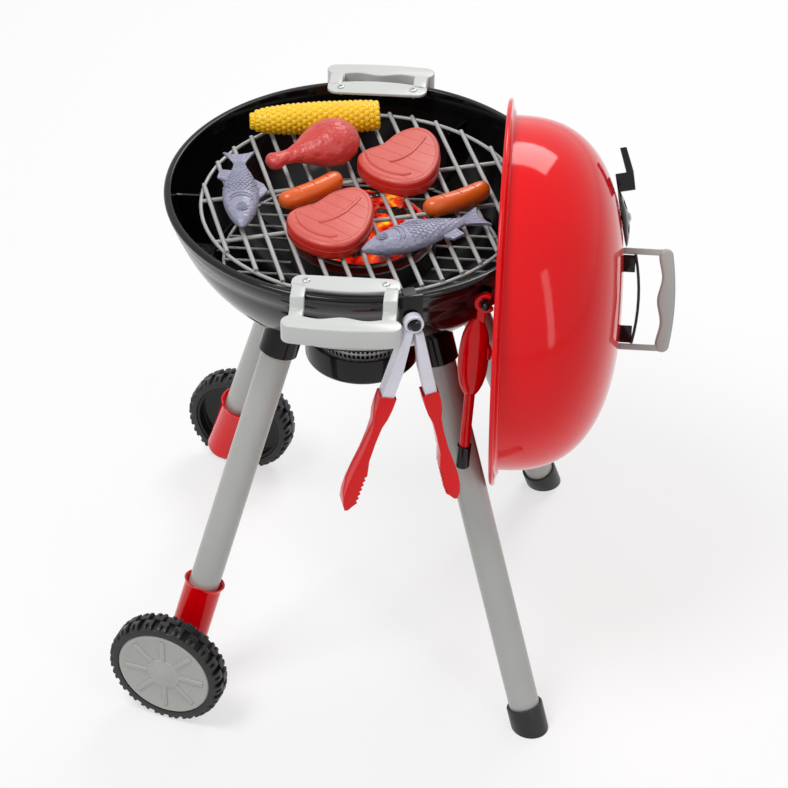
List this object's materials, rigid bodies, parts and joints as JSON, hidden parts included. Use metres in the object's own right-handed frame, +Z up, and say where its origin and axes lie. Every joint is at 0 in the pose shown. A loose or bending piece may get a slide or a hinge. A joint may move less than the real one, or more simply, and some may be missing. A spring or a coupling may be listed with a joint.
{
  "type": "toy barbecue grill",
  "caption": "Toy kettle barbecue on splayed legs with wheels, its domed lid hung on the rim, with grates, glowing coals, tongs, lighter and toy food.",
  "frame": {"origin": "on the floor, in the middle of the footprint", "axes": "+X towards the side where the lid hangs, -Y to the front where the tools hang, +Z up"},
  "size_m": [0.5012, 0.4272, 0.5405],
  "materials": {
    "gloss_black": "glossy moulded",
    "soft_black": "satin moulded",
    "red": "glossy moulded",
    "leg_grey": "satin",
    "light_grey": "satin moulded",
    "dark_grey": "fine grained",
    "hub_grey": "satin moulded",
    "grate_grey": "satin moulded",
    "silver": "silver coloured",
    "steel": "plain",
    "tyre": "matt hard plastic",
    "white": "glossy moulded",
    "battery": "plain sleeve",
    "lamp": "clear resin",
    "coal": "translucent, with dark lumps",
    "corn": "satin moulded",
    "meat": "satin moulded",
    "steak": "satin moulded",
    "sausage": "satin moulded",
    "fish": "satin moulded"
  },
  "bodies": {
    "base": {"kettle_bowl": "gloss_black", "front_handle": "light_grey", "rear_handle": "light_grey", "front_left_screw": "steel", "front_right_screw": "steel", "rear_left_screw": "steel", "rear_right_screw": "steel", "front_left_leg": "leg_grey", "front_right_leg": "leg_grey", "rear_left_leg": "leg_grey", "rear_right_leg": "leg_grey", "front_left_leg_socket": "gloss_black", "front_right_leg_socket": "gloss_black", "rear_left_leg_socket": "gloss_black", "rear_right_leg_socket": "gloss_black", "front_foot_cap": "soft_black", "rear_foot_cap": "soft_black", "front_wheel_sleeve": "red", "rear_wheel_sleeve": "red", "front_axle": "steel", "rear_axle": "steel", "ash_dish": "gloss_black", "vent_band": "silver", "tongs_clip": "gloss_black", "lighter_peg": "gloss_black"},
    "front_wheel": {"front_wheel_tyre": "tyre", "front_wheel_hub": "gloss_black", "front_wheel_hubcap": "hub_grey"},
    "rear_wheel": {"rear_wheel_tyre": "tyre", "rear_wheel_hub": "gloss_black", "rear_wheel_hubcap": "hub_grey"},
    "lid": {"lid_shell": "red", "lid_handle": "light_grey", "lid_heat_shield": "gloss_black", "damper_rivet": "steel"},
    "damper": {"vent_damper": "gloss_black"},
    "grate": {"cooking_grate": "grate_grey"},
    "fire": {"charcoal_grate": "grate_grey", "fire_tray": "dark_grey", "coal_bed": "coal", "battery_door": "dark_grey", "battery_front": "battery", "battery_rear": "battery", "fire_lamp": "lamp"},
    "button": {"power_button": "red"},
    "tongs": {"tongs_bow": "white", "tongs_left_jaw": "red"},
    "tongs_arm": {"tongs_right_arm": "white", "tongs_right_jaw": "red"},
    "lighter": {"lighter_body": "red", "lighter_nozzle": "gloss_black"},
    "trigger": {"lighter_trigger": "gloss_black"},
    "food_corn": {"corn": "corn"},
    "food_drumstick": {"drumstick": "meat"},
    "food_rear_steak": {"rear_steak": "steak"},
    "food_front_steak": {"front_steak": "steak"},
    "food_left_sausage": {"left_sausage": "sausage"},
    "food_right_sausage": {"right_sausage": "sausage"},
    "food_front_fish": {"front_fish": "fish"},
    "food_left_fish": {"left_fish": "fish"}
  },
  "joints": [
    {"name": "front_wheel_spin", "type": "hinge", "parent": "base", "child": "front_wheel", "pos_m": [-0.19553, -0.18695, 0.056], "axis": [-0.284, -0.9588, 0], "continuous": true},
    {"name": "rear_wheel_spin", "type": "hinge", "parent": "base", "child": "rear_wheel", "pos_m": [-0.17281, 0.18695, 0.056], "axis": [0.284, 0.9588, 0], "continuous": true},
    {"name": "lid_lift", "type": "slide", "parent": "base", "child": "lid", "axis": [0.8, 0, 0.6], "range_m": [0, 0.2]},
    {"name": "damper_turn", "type": "hinge", "parent": "lid", "child": "damper", "pos_m": [0.19836, 0.04244, 0.42391], "axis": [0.9806, 0.1152, 0.1585], "range_deg": [0, 60]},
    {"name": "cooking_grate_lift", "type": "slide", "parent": "base", "child": "grate", "axis": [-0.5, 0, 0.866], "range_m": [0, 0.2]},
    {"name": "corn_lift", "type": "slide", "parent": "grate", "child": "food_corn", "axis": [0, 0, 1], "range_m": [0, 0.1]},
    {"name": "drumstick_lift", "type": "slide", "parent": "grate", "child": "food_drumstick", "axis": [0, 0, 1], "range_m": [0, 0.1]},
    {"name": "rear_steak_lift", "type": "slide", "parent": "grate", "child": "food_rear_steak", "axis": [0, 0, 1], "range_m": [0, 0.1]},
    {"name": "front_steak_lift", "type": "slide", "parent": "grate", "child": "food_front_steak", "axis": [0, 0, 1], "range_m": [0, 0.1]},
    {"name": "left_sausage_lift", "type": "slide", "parent": "grate", "child": "food_left_sausage", "axis": [0, 0, 1], "range_m": [0, 0.1]},
    {"name": "right_sausage_lift", "type": "slide", "parent": "grate", "child": "food_right_sausage", "axis": [0, 0, 1], "range_m": [0, 0.1]},
    {"name": "front_fish_lift", "type": "slide", "parent": "grate", "child": "food_front_fish", "axis": [0, 0, 1], "range_m": [0, 0.1]},
    {"name": "left_fish_lift", "type": "slide", "parent": "grate", "child": "food_left_fish", "axis": [0, 0, 1], "range_m": [0, 0.1]},
    {"name": "charcoal_grate_lift", "type": "slide", "parent": "base", "child": "fire", "axis": [0, 0, 1], "range_m": [0, 0.012]},
    {"name": "power_button_press", "type": "slide", "parent": "fire", "child": "button", "axis": [-0.5, 0.866, 0], "range_m": [0, 0.002], "stiffness_N_per_m": 100, "springref_m": -0.003},
    {"name": "tongs_lift", "type": "slide", "parent": "base", "child": "tongs", "axis": [0.3014, -0.9114, 0.28], "range_m": [0, 0.05]},
    {"name": "tongs_squeeze", "type": "hinge", "parent": "tongs", "child": "tongs_arm", "pos_m": [0.02672, -0.17593, 0.45609], "axis": [-0.314, 0.9494, 0], "range_deg": [0, 16], "stiffness_Nm_per_rad": 0.15, "springref_deg": -11.46},
    {"name": "lighter_lift", "type": "slide", "parent": "base", "child": "lighter", "axis": [0, -0.96, 0.28], "range_m": [0, 0.018]},
    {"name": "lighter_trigger_press", "type": "slide", "parent": "lighter", "child": "trigger", "axis": [-0.9982, 0, 0.0593], "range_m": [0, 0.002], "stiffness_N_per_m": 100, "springref_m": -0.003}
  ]
}
